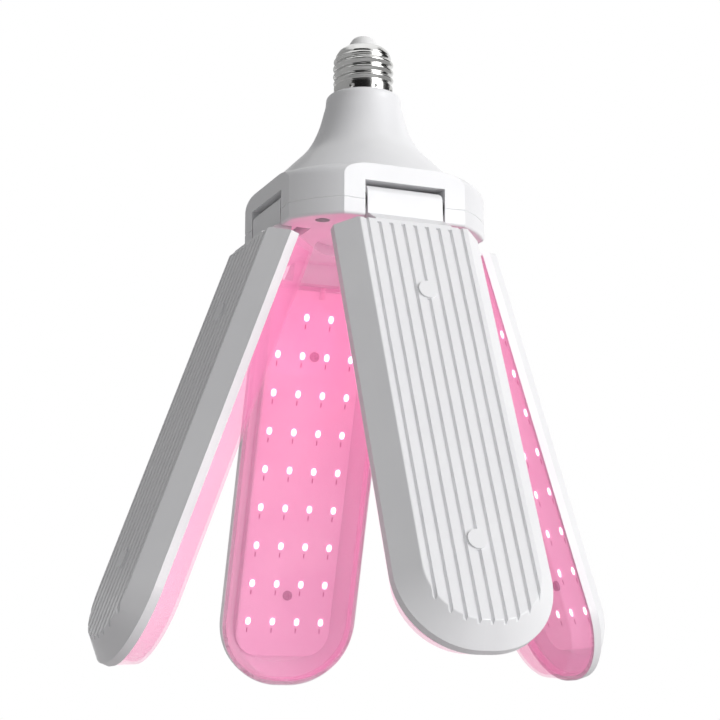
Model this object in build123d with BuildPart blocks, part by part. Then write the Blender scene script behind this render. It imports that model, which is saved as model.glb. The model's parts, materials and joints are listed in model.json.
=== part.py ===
from build123d import *

import math
import os

# Folding LED bulb: a screw cap, a bell-shaped hub and four ribbed light panels that hinge on the hub.
# Millimetres, +Z up. The origin is on the bulb's axis, at the lower edge of the screw cap.

# Screw cap, size E27
THREAD_CREST_R = 13.15
THREAD_DEPTH = 1.05
THREAD_PITCH = 3.629
THREAD_TURNS = 4.7
THREAD_RIDGE_HEIGHT = 2.9
THREAD_RIDGE_FACETS = 8
THREAD_RUNOUT = 2.0
THREAD_CREST_Z = 0.3
SKIRT_R = 12.9
SKIRT_HEIGHT = 4.2
CAP_WALL = 0.4
CAP_HEIGHT = 22.7
CAP_MOUTH_R = 6.9
CAP_SHOULDER_HEIGHT = 5.1
CAP_SHOULDER_BEND_R = 11.3
CAP_SHOULDER_BEND_DROP = 1.5
DIMPLE_COUNT = 8
DIMPLE_R = 0.9
DIMPLE_DEPTH = 0.22
DIMPLE_Z = 1.5

# Insulator and centre contact on top of the cap
INSULATOR_DOME_R = 4.9
INSULATOR_TOP_R = 3.4
INSULATOR_HEIGHT = 4.4
INSULATOR_ROOT = 3.0
INSULATOR_EDGE_DROP = 0.15
CONTACT_R = 2.9
CONTACT_HEIGHT = 0.5
CONTACT_STEM_R = 1.2
CONTACT_STEM_LENGTH = 6.0

# Bell of the upper housing
NECK_R = 16.25
NECK_SHOULDER = 2.8
BELL_FOOT_R = 43.0
BELL_FOOT_SLOPE = 1.0
HOUSING_WALL = 2.2
SPIGOT_HEIGHT = 9.5
SPIGOT_WALL = 2.0
SPIGOT_GAP = 0.15

# Hub drum: round at the corners, flat where a panel hangs
DRUM_R = 51.8
FLAT_R = 44.26
DRUM_TOP_Z = -44.7
PARTING_Z = -59.94
HUB_BOTTOM_Z = -67.1
DRUM_SHOULDER_R = 5.5
COVER_EDGE_R = 1.2
PARTING_CHAMFER = 0.25
COVER_FLOOR = 2.2
POCKET_R = 21.0
POCKET_DEPTH = 4.5

# Hinges: each axis lies in the parting plane
HINGE_R = 38.0
HINGE_Z = PARTING_Z
BARREL_R = 6.2
BARREL_HALF = 16.7
KNUCKLE_TILT = 20.0
KNUCKLE_EDGE_R = 3.0
KNUCKLE_CORNER_R = 2.6
KNUCKLE_FACE_DROP = 6.0
RECESS_HALF = 17.77
RECESS_TOP_Z = -51.9
RECESS_BACK_GAP = 0.8
SADDLE_WIDTH = 5.0
PIN_R = 3.0
PIN_BORE_R = 2.0
PIN_INNER = 8.0
PIN_END_GAP = 0.4
HINGE_RUNNING_GAP = 0.05
WASHER_R = 5.4
WASHER_GAP = 0.06
BOX_WALL = 2.2

# Panels: their lean from the vertical, in degrees, as they hang at rest
PANELS = {"front": (-90, 21.7), "right": (0, 17.7), "rear": (90, 17.2), "left": (180, 20.4)}
PANEL_TOP = 14.6
PANEL_TIP = 197.9
RIM_HALF = 32.0
RIM_TIP_R = 29.5
BACK_N = 9.6
SLOPE_N = 1.9
RIM_N = -1.6
BACK_INSET = 8.35
BACK_EDGE_R = 0.8
PANEL_WALL = 1.8
RIM_WALL = 2.0
SLOPE_WALL_INSET = 2.2
RIB_COUNT = 10
RIB_PITCH = 5.19
GROOVE_DEPTH = 1.2
GROOVE_TOP_WIDTH = 1.9
GROOVE_FLOOR_WIDTH = 0.9
LEAD_HOLE_R = 1.7
LEAD_HOLE_RISE = 2.4

# Light board and lamps of one panel
ROW_COUNT = 9
ROW_PITCH = 17.43
COLUMN_COUNT = 4
COLUMN_PITCH = 11.77
FIRST_ROW = 30.6
BOARD_HALF = 22.5
BOARD_TOP = 18.6
BOARD_TIP = 186.0
BOARD_TIP_R = 11.0
BOARD_BACK_N = 6.2
BOARD_THICKNESS = 1.2
LAMP_WIDTH = 2.8
LAMP_LENGTH = 3.5
LAMP_HEIGHT = 0.75
LAMP_WINDOW_R = 1.15
LAMP_WINDOW_DEPTH = 0.15

# Screws that hold the light board to its two bosses
BOARD_SCREW_ROWS = (1.0, 7.3)
BOSS_R = 3.9
BOSS_PROUD = 0.8
BOARD_SCREW_R = 1.2
BOARD_SCREW_HEAD_R = 2.2
BOARD_SCREW_HEAD_HEIGHT = 1.4
BOARD_SCREW_DEPTH = 3.4
SCREW_PLAY = 0.15

# Clear lens
LENS_INSET = 0.4
LENS_FRONT_INSET = 3.9
LENS_DEPTH = 9.2
LENS_WALL = 1.3
LENS_EDGE_R = 1.8
LENS_LIP = 2.2
LENS_LIP_WALL = 1.2
LENS_LIP_GAP = 0.12

# Hub screws, from below through the cover
HUB_SCREW_R = 1.5
HUB_SCREW_HEAD_R = 2.7
HUB_SCREW_HEAD_HEIGHT = 1.9
HUB_SCREW_LENGTH = 14.0
HUB_SCREW_CIRCLE_R = 44.0
HUB_BOSS_R = 4.6
HUB_SCREW_SINK = 3.4
HEAD_POCKET_R = 3.05

# Driver board inside the bell, hung on two posts
DRIVER_R = 27.4
DRIVER_Z = -42.5
DRIVER_THICKNESS = 1.6
POST_R = 2.8
POST_CIRCLE_R = 22.0
DRIVER_SCREW_R = 1.25
DRIVER_SCREW_HEAD_R = 2.4
DRIVER_SCREW_HEAD_HEIGHT = 1.6
DRIVER_SCREW_LENGTH = 7.0

# Components on the driver board: places from the board's middle, sizes as width, depth and height
INPUT_CAPACITOR_PLACE = (0, 9.5)
INPUT_CAPACITOR_R = 5.0
INPUT_CAPACITOR_HEIGHT = 20.0
OUTPUT_CAPACITOR_PLACE = (-9.0, -7.5)
OUTPUT_CAPACITOR_R = 4.0
OUTPUT_CAPACITOR_HEIGHT = 14.0
BRIDGE_PLACE = (13.5, 9.0)
BRIDGE_SIZE = (6.5, 5.0, 2.6)
CHIP_PLACE = (11.0, 0.0)
CHIP_SIZE = (5.0, 4.0, 1.8)
FILM_CAPACITOR_PLACE = (-12.5, 8.0)
FILM_CAPACITOR_SIZE = (5.0, 10.0, 9.0)
INDUCTOR_PLACE = (5.0, -10.5)
INDUCTOR_R = 5.0
INDUCTOR_HEIGHT = 10.0
INDUCTOR_FLANGE = 1.5
INDUCTOR_CORE_R = 2.2
WINDING_R = 4.4
RESISTOR_PLACE = (14.5, -9.0)
RESISTOR_R = 1.6
RESISTOR_LENGTH = 9.0

# Leads
PANEL_LEAD_R = 1.1
PANEL_LEAD_TAIL = 3.2
PANEL_LEAD_BENDS = [2.6, 6.0]
HUB_LEAD_OUT = 4.4
HUB_LEAD_RISE = 9.5
HUB_LEAD_LEAN = 1.5
HUB_LEAD_BEND_PLACE = (18.6, 15.1)
HUB_LEAD_END_PLACE = (13.7, 11.5)
HUB_LEAD_BENDS = [3.0, 5.0, 3.0]
MAINS_LEAD_R = 0.8
LIVE_LEAD_DROP_Z = 2.0
LIVE_LEAD_BEND_Z = -14.0
LIVE_LEAD_FOOT_PLACE = (-1.0, -1.5)
LIVE_LEAD_BENDS = [14.0, 14.0]
NEUTRAL_LEAD_RISES = (5.5, 3.6, 1.0)
NEUTRAL_LEAD_FEET = (8.0, 3.0)
NEUTRAL_LEAD_SHIFT = (-3.5, 4.5)
NEUTRAL_LEAD_BENDS = [2.0, 2.4, 3.0, 2.6]
SPLICE_GAP = 0.3
TOUCH_GAP = 0.05

# Proportions of small round and square things
SCREW_ROUND_SHARE = 0.45
SLOT_LENGTH_SHARE = 1.2
SLOT_WIDTH_SHARE = 0.3
SLOT_DEPTH_SHARE = 0.55
CAN_EDGE_SHARE = 0.15
CAN_WAIST_SHARE = 0.94
CAN_WAIST_RISE_SHARE = 0.12
CAN_WAIST_HEIGHT_SHARE = 0.06
BLOCK_EDGE_SHARE = 0.12
RESISTOR_EDGE_SHARE = 0.4
SAME_LEVEL = 0.01

# Sizes that follow from the ones above
BELL_POINTS = [
    (NECK_R, -NECK_SHOULDER),
    (17.1, -7.5),
    (18.7, -13.5),
    (21.2, -20.0),
    (25.2, -26.7),
    (30.3, -32.0),
    (36.5, -38.2),
    (BELL_FOOT_R, DRUM_TOP_Z),
]
THREAD_ROOT_R = THREAD_CREST_R - THREAD_DEPTH
THREAD_LENGTH = THREAD_TURNS * THREAD_PITCH
CAP_BORE_R = THREAD_ROOT_R - CAP_WALL
INSULATOR_Z = CAP_HEIGHT
CONTACT_Z = INSULATOR_Z + INSULATOR_HEIGHT
SADDLE_HALF = RECESS_HALF + SADDLE_WIDTH
RECESS_BACK_R = HINGE_R - BARREL_R - RECESS_BACK_GAP
BOX_BACK_R = RECESS_BACK_R - BOX_WALL
BOX_TOP_Z = RECESS_TOP_Z + BOX_WALL
PIN_OUTER = SADDLE_HALF - PIN_END_GAP
CORNER_ANGLES = [45 + 90 * quarter for quarter in range(4)]
BOARD_FRONT_N = BOARD_BACK_N - BOARD_THICKNESS
FLOOR_N = BACK_N - PANEL_WALL
LENS_FRONT_N = RIM_N - LENS_DEPTH
POST_ANGLES = (0, 180)


def ring_outline(height, corner_r, flat_r):
    """Draw a circle with four flats, one for each panel."""
    with BuildSketch(Plane.XY.offset(height)) as sketch:
        Circle(corner_r)
        Rectangle(2 * flat_r, 2 * flat_r, mode=Mode.INTERSECT)
    return sketch.sketch


def side_plane(azimuth, height):
    """Return a level plane at this height whose X points out of the hub at this azimuth."""
    outward = Vector(1, 0, 0).rotate(Axis.Z, azimuth)
    return Plane(origin=(0, 0, height), x_dir=outward, z_dir=(0, 0, 1))


def side_rectangle(azimuth, height, near, far, half_width):
    """Draw a rectangle from near to far along the hub's outward direction."""
    with BuildSketch(side_plane(azimuth, height)) as sketch:
        with Locations(((near + far) / 2, 0)):
            Rectangle(far - near, 2 * half_width)
    return sketch.sketch


def hinge_axle(azimuth):
    """Return the plane across one hinge axis, at the middle of its barrel."""
    outward = Vector(1, 0, 0).rotate(Axis.Z, azimuth)
    origin = outward * HINGE_R + Vector(0, 0, HINGE_Z)
    return Plane(origin=origin, x_dir=outward, z_dir=Vector(0, 0, 1).cross(outward))


def panel_frame(azimuth, lean):
    """Return a panel's plane: X across it, Y up along it, Z out of its ribbed back, origin on the hinge."""
    outward = Vector(1, 0, 0).rotate(Axis.Z, azimuth)
    back = outward * math.cos(math.radians(lean)) + Vector(0, 0, 1) * math.sin(math.radians(lean))
    origin = outward * HINGE_R + Vector(0, 0, HINGE_Z)
    return Plane(origin=origin, x_dir=Vector(0, 0, 1).cross(outward), z_dir=back)


def panel_axle(frame):
    """Return the plane across the hinge axis, leaning with the panel: X out of its back, Y down along it."""
    return Plane(origin=frame.origin, x_dir=frame.z_dir, z_dir=frame.x_dir)


def panel_end(frame, distance):
    """Return the plane square to the panel's length, this far below the hinge, looking down the panel."""
    return Plane(origin=frame.origin - frame.y_dir * distance, x_dir=frame.x_dir, z_dir=-frame.y_dir)


def panel_outline(frame, level, inset, top, tip=PANEL_TIP, half=RIM_HALF, tip_r=RIM_TIP_R):
    """Draw a strip with a square top and a rounded tip at one level of the panel."""
    length = tip - inset - top
    with BuildSketch(frame.offset(level)) as sketch:
        with Locations((0, -top - length / 2)):
            Rectangle(2 * (half - inset), length)
        fillet(sketch.vertices().group_by(Axis.Y)[0], tip_r - inset)
    return sketch.sketch


def lead(points, radii, radius):
    """Make a round lead along straight runs joined by arcs, and print its arc radii."""
    with BuildPart() as cable:
        with BuildLine() as route:
            if len(points) > 2:
                FilletPolyline(*points, radius=radii)
            else:
                Line(*points)
        path = route.wires()[0]
        with BuildSketch(Plane(origin=path @ 0, z_dir=path % 0)):
            Circle(radius)
        sweep(path=path)
    error = cable.part.volume / (math.pi * radius**2 * path.length) - 1
    print("lead arc radii", radii, "volume error", round(error, 4))
    return cable


def save(builder, name):
    """Label a finished piece and write it."""
    builder.part.label = name
    export_step(builder.part, f"parts/{name}.step")


os.makedirs("parts", exist_ok=True)

# Thread ridge, cut by a cone at each end so that the turns run out
thread_start = SKIRT_HEIGHT
shoulder_z = CAP_HEIGHT - CAP_SHOULDER_HEIGHT
ridge_root_r = CAP_BORE_R - CAP_WALL
with BuildPart() as thread_ridge:
    with BuildLine() as ridge_path:
        Helix(THREAD_PITCH, THREAD_LENGTH, THREAD_ROOT_R, center=(0, 0, THREAD_CREST_Z))
    helix = ridge_path.wires()[0]
    with BuildSketch(Plane(origin=helix @ 0, x_dir=(1, 0, 0), z_dir=helix % 0)):
        ridge_profile = [(-CAP_WALL / 2, -THREAD_RIDGE_HEIGHT / 2)]
        for step in range(THREAD_RIDGE_FACETS + 1):
            climb = math.pi * (step / THREAD_RIDGE_FACETS - 0.5)
            ridge_profile.append((THREAD_DEPTH * math.cos(climb), THREAD_RIDGE_HEIGHT / 2 * math.sin(climb)))
        ridge_profile.append((-CAP_WALL / 2, THREAD_RIDGE_HEIGHT / 2))
        with BuildLine():
            Polyline(*ridge_profile, close=True)
        make_face()
    sweep(path=helix, is_frenet=True)
    with BuildSketch(Plane.XZ):
        with BuildLine():
            Polyline(
                (ridge_root_r, thread_start),
                (THREAD_ROOT_R, thread_start),
                (THREAD_CREST_R, thread_start + THREAD_RUNOUT),
                (THREAD_CREST_R, shoulder_z - THREAD_RUNOUT),
                (THREAD_ROOT_R, shoulder_z),
                (ridge_root_r, shoulder_z),
                close=True,
            )
        make_face()
    revolve(axis=Axis.Z, mode=Mode.INTERSECT)

# Screw shell: skirt, threaded wall and the shoulder that grips the insulator
with BuildPart() as screw_shell:
    with BuildSketch(Plane.XZ):
        with BuildLine():
            Line((SKIRT_R - CAP_WALL, 0), (SKIRT_R, 0))
            Line((SKIRT_R, 0), (SKIRT_R, SKIRT_HEIGHT))
            Line((SKIRT_R, SKIRT_HEIGHT), (THREAD_ROOT_R, SKIRT_HEIGHT))
            Line((THREAD_ROOT_R, SKIRT_HEIGHT), (THREAD_ROOT_R, shoulder_z))
            Bezier(
                (THREAD_ROOT_R, shoulder_z),
                (CAP_SHOULDER_BEND_R, CAP_HEIGHT - CAP_SHOULDER_BEND_DROP),
                (CAP_MOUTH_R, CAP_HEIGHT),
            )
            Line((CAP_MOUTH_R, CAP_HEIGHT), (CAP_MOUTH_R, CAP_HEIGHT - CAP_WALL))
            Bezier(
                (CAP_MOUTH_R, CAP_HEIGHT - CAP_WALL),
                (CAP_SHOULDER_BEND_R - CAP_WALL, CAP_HEIGHT - CAP_SHOULDER_BEND_DROP - CAP_WALL),
                (CAP_BORE_R, shoulder_z),
            )
            Line((CAP_BORE_R, shoulder_z), (CAP_BORE_R, SKIRT_HEIGHT - CAP_WALL))
            Line((CAP_BORE_R, SKIRT_HEIGHT - CAP_WALL), (SKIRT_R - CAP_WALL, SKIRT_HEIGHT - CAP_WALL))
            Line((SKIRT_R - CAP_WALL, SKIRT_HEIGHT - CAP_WALL), (SKIRT_R - CAP_WALL, 0))
        make_face()
    revolve(axis=Axis.Z)
    add(thread_ridge.part)
    with Locations((0, 0, DIMPLE_Z)):
        with PolarLocations(SKIRT_R + DIMPLE_R - DIMPLE_DEPTH, DIMPLE_COUNT):
            Sphere(DIMPLE_R, mode=Mode.SUBTRACT)
save(screw_shell, "screw_shell")

# Insulator: a white dome whose root sits in the shell's mouth
with BuildPart() as cap_insulator:
    with BuildSketch(Plane.XZ):
        with BuildLine():
            root_r = CAP_MOUTH_R - SPIGOT_GAP
            seat_z = INSULATOR_Z + TOUCH_GAP
            Polyline(
                (CONTACT_STEM_R, CONTACT_Z),
                (CONTACT_STEM_R, INSULATOR_Z - INSULATOR_ROOT),
                (root_r, INSULATOR_Z - INSULATOR_ROOT),
                (root_r, seat_z),
            )
            dome_edge = (INSULATOR_DOME_R, CONTACT_Z - INSULATOR_EDGE_DROP)
            Bezier((root_r, seat_z), dome_edge, (INSULATOR_TOP_R, CONTACT_Z))
            Line((INSULATOR_TOP_R, CONTACT_Z), (CONTACT_STEM_R, CONTACT_Z))
        make_face()
    revolve(axis=Axis.Z)
save(cap_insulator, "cap_insulator")

# Centre contact: a domed rivet through the insulator
with BuildPart() as centre_contact:
    with BuildSketch(Plane.XZ):
        with BuildLine():
            Polyline(
                (0, CONTACT_Z + CONTACT_HEIGHT),
                (0, CONTACT_Z - CONTACT_STEM_LENGTH),
                (CONTACT_STEM_R, CONTACT_Z - CONTACT_STEM_LENGTH),
                (CONTACT_STEM_R, CONTACT_Z),
                (CONTACT_R, CONTACT_Z),
            )
            Bezier(
                (CONTACT_R, CONTACT_Z),
                (CONTACT_R, CONTACT_Z + CONTACT_HEIGHT),
                (0, CONTACT_Z + CONTACT_HEIGHT),
            )
        make_face()
    revolve(axis=Axis.Z)
save(centre_contact, "centre_contact")

# Upper housing, outside first: spigot, neck, bell and drum
bell_curve = Spline(*BELL_POINTS, tangents=((0, -1), (1, -BELL_FOOT_SLOPE)))
bell_foot = BELL_POINTS[-1]
inner_bell = []
for station in range(len(BELL_POINTS)):
    share = station / (len(BELL_POINTS) - 1)
    heading = bell_curve % share
    inner_bell.append(bell_curve @ share + Vector(heading.Y, -heading.X) * HOUSING_WALL)
inner_foot = inner_bell[-1]
inner_top_z = DRUM_TOP_Z - HOUSING_WALL
spigot_r = CAP_BORE_R - SPIGOT_GAP
spigot_bore_r = spigot_r - SPIGOT_WALL
skirt_seat_r = SKIRT_R - CAP_WALL - SPIGOT_GAP
skirt_seat_z = SKIRT_HEIGHT - CAP_WALL - SPIGOT_GAP
with BuildPart() as upper_housing:
    with BuildSketch(Plane.XZ):
        with BuildLine():
            Polyline(
                (0, bell_foot[1]),
                (0, SPIGOT_HEIGHT),
                (spigot_r, SPIGOT_HEIGHT),
                (spigot_r, skirt_seat_z),
                (skirt_seat_r, skirt_seat_z),
                (skirt_seat_r, 0),
                (SKIRT_R, 0),
            )
            Bezier((SKIRT_R, 0), (NECK_R, 0), (NECK_R, -NECK_SHOULDER))
            Spline(*BELL_POINTS, tangents=((0, -1), (1, -BELL_FOOT_SLOPE)))
            Line(bell_foot, (0, bell_foot[1]))
        make_face()
    revolve(axis=Axis.Z)
    add(ring_outline(DRUM_TOP_Z, DRUM_R, FLAT_R))
    extrude(amount=PARTING_Z - DRUM_TOP_Z)
    shoulder = upper_housing.edges().filter_by(GeomType.CIRCLE)
    shoulder = shoulder.filter_by(lambda e: abs(e.center().Z - DRUM_TOP_Z) < SAME_LEVEL and e.radius > FLAT_R)
    fillet(shoulder, DRUM_SHOULDER_R)
    parting_rim = upper_housing.faces().filter_by(Axis.Z).sort_by(Axis.Z)[0].outer_wire().edges()
    chamfer(parting_rim, PARTING_CHAMFER)
    # The hollow
    with BuildSketch(Plane.XZ):
        with BuildLine():
            Polyline(
                (inner_foot.X, inner_foot.Y),
                (inner_foot.X, inner_top_z),
                (0, inner_top_z),
                (0, SPIGOT_HEIGHT),
                (spigot_bore_r, SPIGOT_HEIGHT),
                (spigot_bore_r, -HOUSING_WALL),
                (NECK_R - HOUSING_WALL, -NECK_SHOULDER - HOUSING_WALL),
            )
            Spline((NECK_R - HOUSING_WALL, -NECK_SHOULDER - HOUSING_WALL), *inner_bell[1:])
        make_face()
    revolve(axis=Axis.Z, mode=Mode.SUBTRACT)
    add(ring_outline(inner_top_z, DRUM_R - HOUSING_WALL, FLAT_R - HOUSING_WALL))
    extrude(amount=PARTING_Z - inner_top_z, mode=Mode.SUBTRACT)
    # Screw bosses in the corners and posts for the driver board reach up to the roof
    with BuildSketch(Plane.XY.offset(PARTING_Z)):
        with PolarLocations(HUB_SCREW_CIRCLE_R, len(CORNER_ANGLES), start_angle=CORNER_ANGLES[0]):
            Circle(HUB_BOSS_R)
    extrude(until=Until.NEXT)
    with BuildSketch(Plane.XY.offset(DRIVER_Z + DRIVER_THICKNESS)):
        with PolarLocations(POST_CIRCLE_R, len(POST_ANGLES), start_angle=POST_ANGLES[0]):
            Circle(POST_R)
    extrude(until=Until.NEXT)
    with BuildSketch(Plane.XY.offset(DRIVER_Z + DRIVER_THICKNESS)):
        with PolarLocations(POST_CIRCLE_R, len(POST_ANGLES), start_angle=POST_ANGLES[0]):
            Circle(DRIVER_SCREW_R)
    extrude(amount=DRIVER_SCREW_LENGTH, mode=Mode.SUBTRACT)
    with BuildSketch(Plane.XY.offset(PARTING_Z)):
        with PolarLocations(HUB_SCREW_CIRCLE_R, len(CORNER_ANGLES), start_angle=CORNER_ANGLES[0]):
            Circle(HUB_SCREW_R)
    extrude(amount=HUB_SCREW_LENGTH, mode=Mode.SUBTRACT)
    # Hinge boxes: a solid block on each side, opened by the recess and bored for the pins
    for azimuth, _ in PANELS.values():
        add(side_rectangle(azimuth, PARTING_Z, BOX_BACK_R, FLAT_R, SADDLE_HALF))
        extrude(amount=BOX_TOP_Z - PARTING_Z)
    for azimuth, _ in PANELS.values():
        add(side_rectangle(azimuth, PARTING_Z, RECESS_BACK_R, DRUM_R, RECESS_HALF))
        extrude(amount=RECESS_TOP_Z - PARTING_Z, mode=Mode.SUBTRACT)
        with BuildSketch(hinge_axle(azimuth)):
            Circle(PIN_R + HINGE_RUNNING_GAP)
        extrude(amount=SADDLE_HALF, both=True, mode=Mode.SUBTRACT)
save(upper_housing, "upper_housing")

# Hub cover: the lower half of the drum
cover_height = PARTING_Z - HUB_BOTTOM_Z
with BuildPart() as hub_cover:
    add(ring_outline(HUB_BOTTOM_Z, DRUM_R, FLAT_R))
    extrude(amount=cover_height)
    cover_faces = hub_cover.faces().filter_by(Axis.Z).sort_by(Axis.Z)
    fillet(cover_faces[0].outer_wire().edges(), COVER_EDGE_R)
    cover_faces = hub_cover.faces().filter_by(Axis.Z).sort_by(Axis.Z)
    chamfer(cover_faces[-1].outer_wire().edges(), PARTING_CHAMFER)
    add(ring_outline(HUB_BOTTOM_Z + COVER_FLOOR, DRUM_R - HOUSING_WALL, FLAT_R - HOUSING_WALL))
    extrude(amount=cover_height, mode=Mode.SUBTRACT)
    # The middle of the floor stands higher, as a round pocket in the underside
    with BuildSketch(Plane.XY.offset(HUB_BOTTOM_Z)):
        Circle(POCKET_R + COVER_FLOOR)
    extrude(amount=POCKET_DEPTH + COVER_FLOOR)
    with BuildSketch(Plane.XY.offset(HUB_BOTTOM_Z)):
        Circle(POCKET_R)
    extrude(amount=POCKET_DEPTH, mode=Mode.SUBTRACT)
    with BuildSketch(Plane.XY.offset(HUB_BOTTOM_Z)):
        with PolarLocations(HUB_SCREW_CIRCLE_R, len(CORNER_ANGLES), start_angle=CORNER_ANGLES[0]):
            Circle(HUB_BOSS_R)
    extrude(amount=cover_height)
    with BuildSketch(Plane.XY.offset(HUB_BOTTOM_Z)):
        with PolarLocations(HUB_SCREW_CIRCLE_R, len(CORNER_ANGLES), start_angle=CORNER_ANGLES[0]):
            Circle(HEAD_POCKET_R)
    extrude(amount=HUB_SCREW_SINK, mode=Mode.SUBTRACT)
    with BuildSketch(Plane.XY.offset(HUB_BOTTOM_Z)):
        with PolarLocations(HUB_SCREW_CIRCLE_R, len(CORNER_ANGLES), start_angle=CORNER_ANGLES[0]):
            Circle(HUB_SCREW_R + SCREW_PLAY)
    extrude(amount=cover_height, mode=Mode.SUBTRACT)
    box_base_z = HUB_BOTTOM_Z + COVER_FLOOR / 2
    for azimuth, _ in PANELS.values():
        add(side_rectangle(azimuth, box_base_z, BOX_BACK_R, FLAT_R - COVER_EDGE_R, SADDLE_HALF))
        extrude(amount=PARTING_Z - box_base_z)
    for azimuth, _ in PANELS.values():
        add(side_rectangle(azimuth, HUB_BOTTOM_Z, RECESS_BACK_R, DRUM_R, RECESS_HALF))
        extrude(amount=cover_height, mode=Mode.SUBTRACT)
        with BuildSketch(hinge_axle(azimuth)):
            Circle(PIN_R + HINGE_RUNNING_GAP)
        extrude(amount=SADDLE_HALF, both=True, mode=Mode.SUBTRACT)
save(hub_cover, "hub_cover")


def screw(plane, points, shank_r, length, head_r, head_height):
    """Make pan-head screws whose heads stand on the plane and whose shanks run along its normal."""
    slot_length = head_r * SLOT_LENGTH_SHARE
    slot_width = head_r * SLOT_WIDTH_SHARE
    with BuildPart() as group:
        with BuildSketch(plane):
            with Locations(*points):
                Circle(shank_r)
        extrude(amount=length)
        with BuildSketch(plane):
            with Locations(*points):
                Circle(head_r)
        extrude(amount=-head_height)
        shank_axis = Axis(plane.origin, plane.z_dir)
        heads = group.faces().filter_by(shank_axis).group_by(shank_axis)[0]
        fillet(heads.edges(), head_height * SCREW_ROUND_SHARE)
        with BuildSketch(plane.offset(-head_height)):
            with Locations(*points):
                Rectangle(slot_length, slot_width)
                Rectangle(slot_width, slot_length)
        extrude(amount=head_height * SLOT_DEPTH_SHARE, mode=Mode.SUBTRACT)
    return group


hub_screw_points = [tuple(Vector(HUB_SCREW_CIRCLE_R, 0).rotate(Axis.Z, angle)) for angle in CORNER_ANGLES]
hub_screws = screw(
    Plane.XY.offset(HUB_BOTTOM_Z + HUB_SCREW_SINK),
    hub_screw_points,
    HUB_SCREW_R,
    HUB_SCREW_LENGTH,
    HUB_SCREW_HEAD_R,
    HUB_SCREW_HEAD_HEIGHT,
)
save(hub_screws, "hub_screws")

# Driver board and what stands on it
driver_top_z = DRIVER_Z + DRIVER_THICKNESS
post_points = [tuple(Vector(POST_CIRCLE_R, 0).rotate(Axis.Z, angle)) for angle in POST_ANGLES]
with BuildPart() as driver_board:
    with BuildSketch(Plane.XY.offset(DRIVER_Z)):
        Circle(DRIVER_R)
        with Locations(*post_points):
            Circle(DRIVER_SCREW_R + SCREW_PLAY, mode=Mode.SUBTRACT)
    extrude(amount=DRIVER_THICKNESS)
save(driver_board, "driver_board")

driver_screws = screw(
    Plane.XY.offset(DRIVER_Z),
    post_points,
    DRIVER_SCREW_R,
    DRIVER_SCREW_LENGTH,
    DRIVER_SCREW_HEAD_R,
    DRIVER_SCREW_HEAD_HEIGHT,
)
save(driver_screws, "driver_screws")


def can(name, place, radius, height):
    """Make an electrolytic capacitor's can with its rolled waist, standing on the driver board."""
    waist_z = driver_top_z + height * CAN_WAIST_RISE_SHARE
    with BuildPart() as body:
        with BuildSketch(Plane.XY.offset(driver_top_z)):
            with Locations(place):
                Circle(radius)
        extrude(amount=height)
        fillet(body.edges().group_by(Axis.Z)[-1], radius * CAN_EDGE_SHARE)
        with BuildSketch(Plane.XY.offset(waist_z)):
            with Locations(place):
                Circle(radius)
                Circle(radius * CAN_WAIST_SHARE, mode=Mode.SUBTRACT)
        extrude(amount=height * CAN_WAIST_HEIGHT_SHARE, mode=Mode.SUBTRACT)
    save(body, name)


def block(name, place, size):
    """Make a box-shaped component on the driver board."""
    with BuildPart() as body:
        with BuildSketch(Plane.XY.offset(driver_top_z)):
            with Locations(place):
                Rectangle(size[0], size[1])
        extrude(amount=size[2])
        fillet(body.edges().group_by(Axis.Z)[-1], min(size) * BLOCK_EDGE_SHARE)
    save(body, name)


can("input_capacitor", INPUT_CAPACITOR_PLACE, INPUT_CAPACITOR_R, INPUT_CAPACITOR_HEIGHT)
can("output_capacitor", OUTPUT_CAPACITOR_PLACE, OUTPUT_CAPACITOR_R, OUTPUT_CAPACITOR_HEIGHT)
block("bridge_rectifier", BRIDGE_PLACE, BRIDGE_SIZE)
block("driver_chip", CHIP_PLACE, CHIP_SIZE)
block("film_capacitor", FILM_CAPACITOR_PLACE, FILM_CAPACITOR_SIZE)

# Power inductor: a ferrite drum with its winding
with BuildPart() as inductor_core:
    with BuildSketch(Plane.XY.offset(driver_top_z)):
        with Locations(INDUCTOR_PLACE):
            Circle(INDUCTOR_R)
    extrude(amount=INDUCTOR_HEIGHT)
    with BuildSketch(Plane.XY.offset(driver_top_z + INDUCTOR_FLANGE)):
        with Locations(INDUCTOR_PLACE):
            Circle(INDUCTOR_R)
            Circle(INDUCTOR_CORE_R, mode=Mode.SUBTRACT)
    extrude(amount=INDUCTOR_HEIGHT - 2 * INDUCTOR_FLANGE, mode=Mode.SUBTRACT)
save(inductor_core, "inductor_core")
with BuildPart() as inductor_winding:
    with BuildSketch(Plane.XY.offset(driver_top_z + INDUCTOR_FLANGE)):
        with Locations(INDUCTOR_PLACE):
            Circle(WINDING_R)
            Circle(INDUCTOR_CORE_R, mode=Mode.SUBTRACT)
    extrude(amount=INDUCTOR_HEIGHT - 2 * INDUCTOR_FLANGE)
save(inductor_winding, "inductor_winding")

# Fusible resistor, lying on the board
resistor_end = (
    RESISTOR_PLACE[0],
    RESISTOR_PLACE[1] - RESISTOR_LENGTH / 2,
    driver_top_z + RESISTOR_R + TOUCH_GAP,
)
with BuildPart() as fusible_resistor:
    with BuildSketch(Plane(origin=resistor_end, z_dir=(0, 1, 0))):
        Circle(RESISTOR_R)
    extrude(amount=RESISTOR_LENGTH)
    fillet(fusible_resistor.edges(), RESISTOR_R * RESISTOR_EDGE_SHARE)
save(fusible_resistor, "fusible_resistor")

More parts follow.
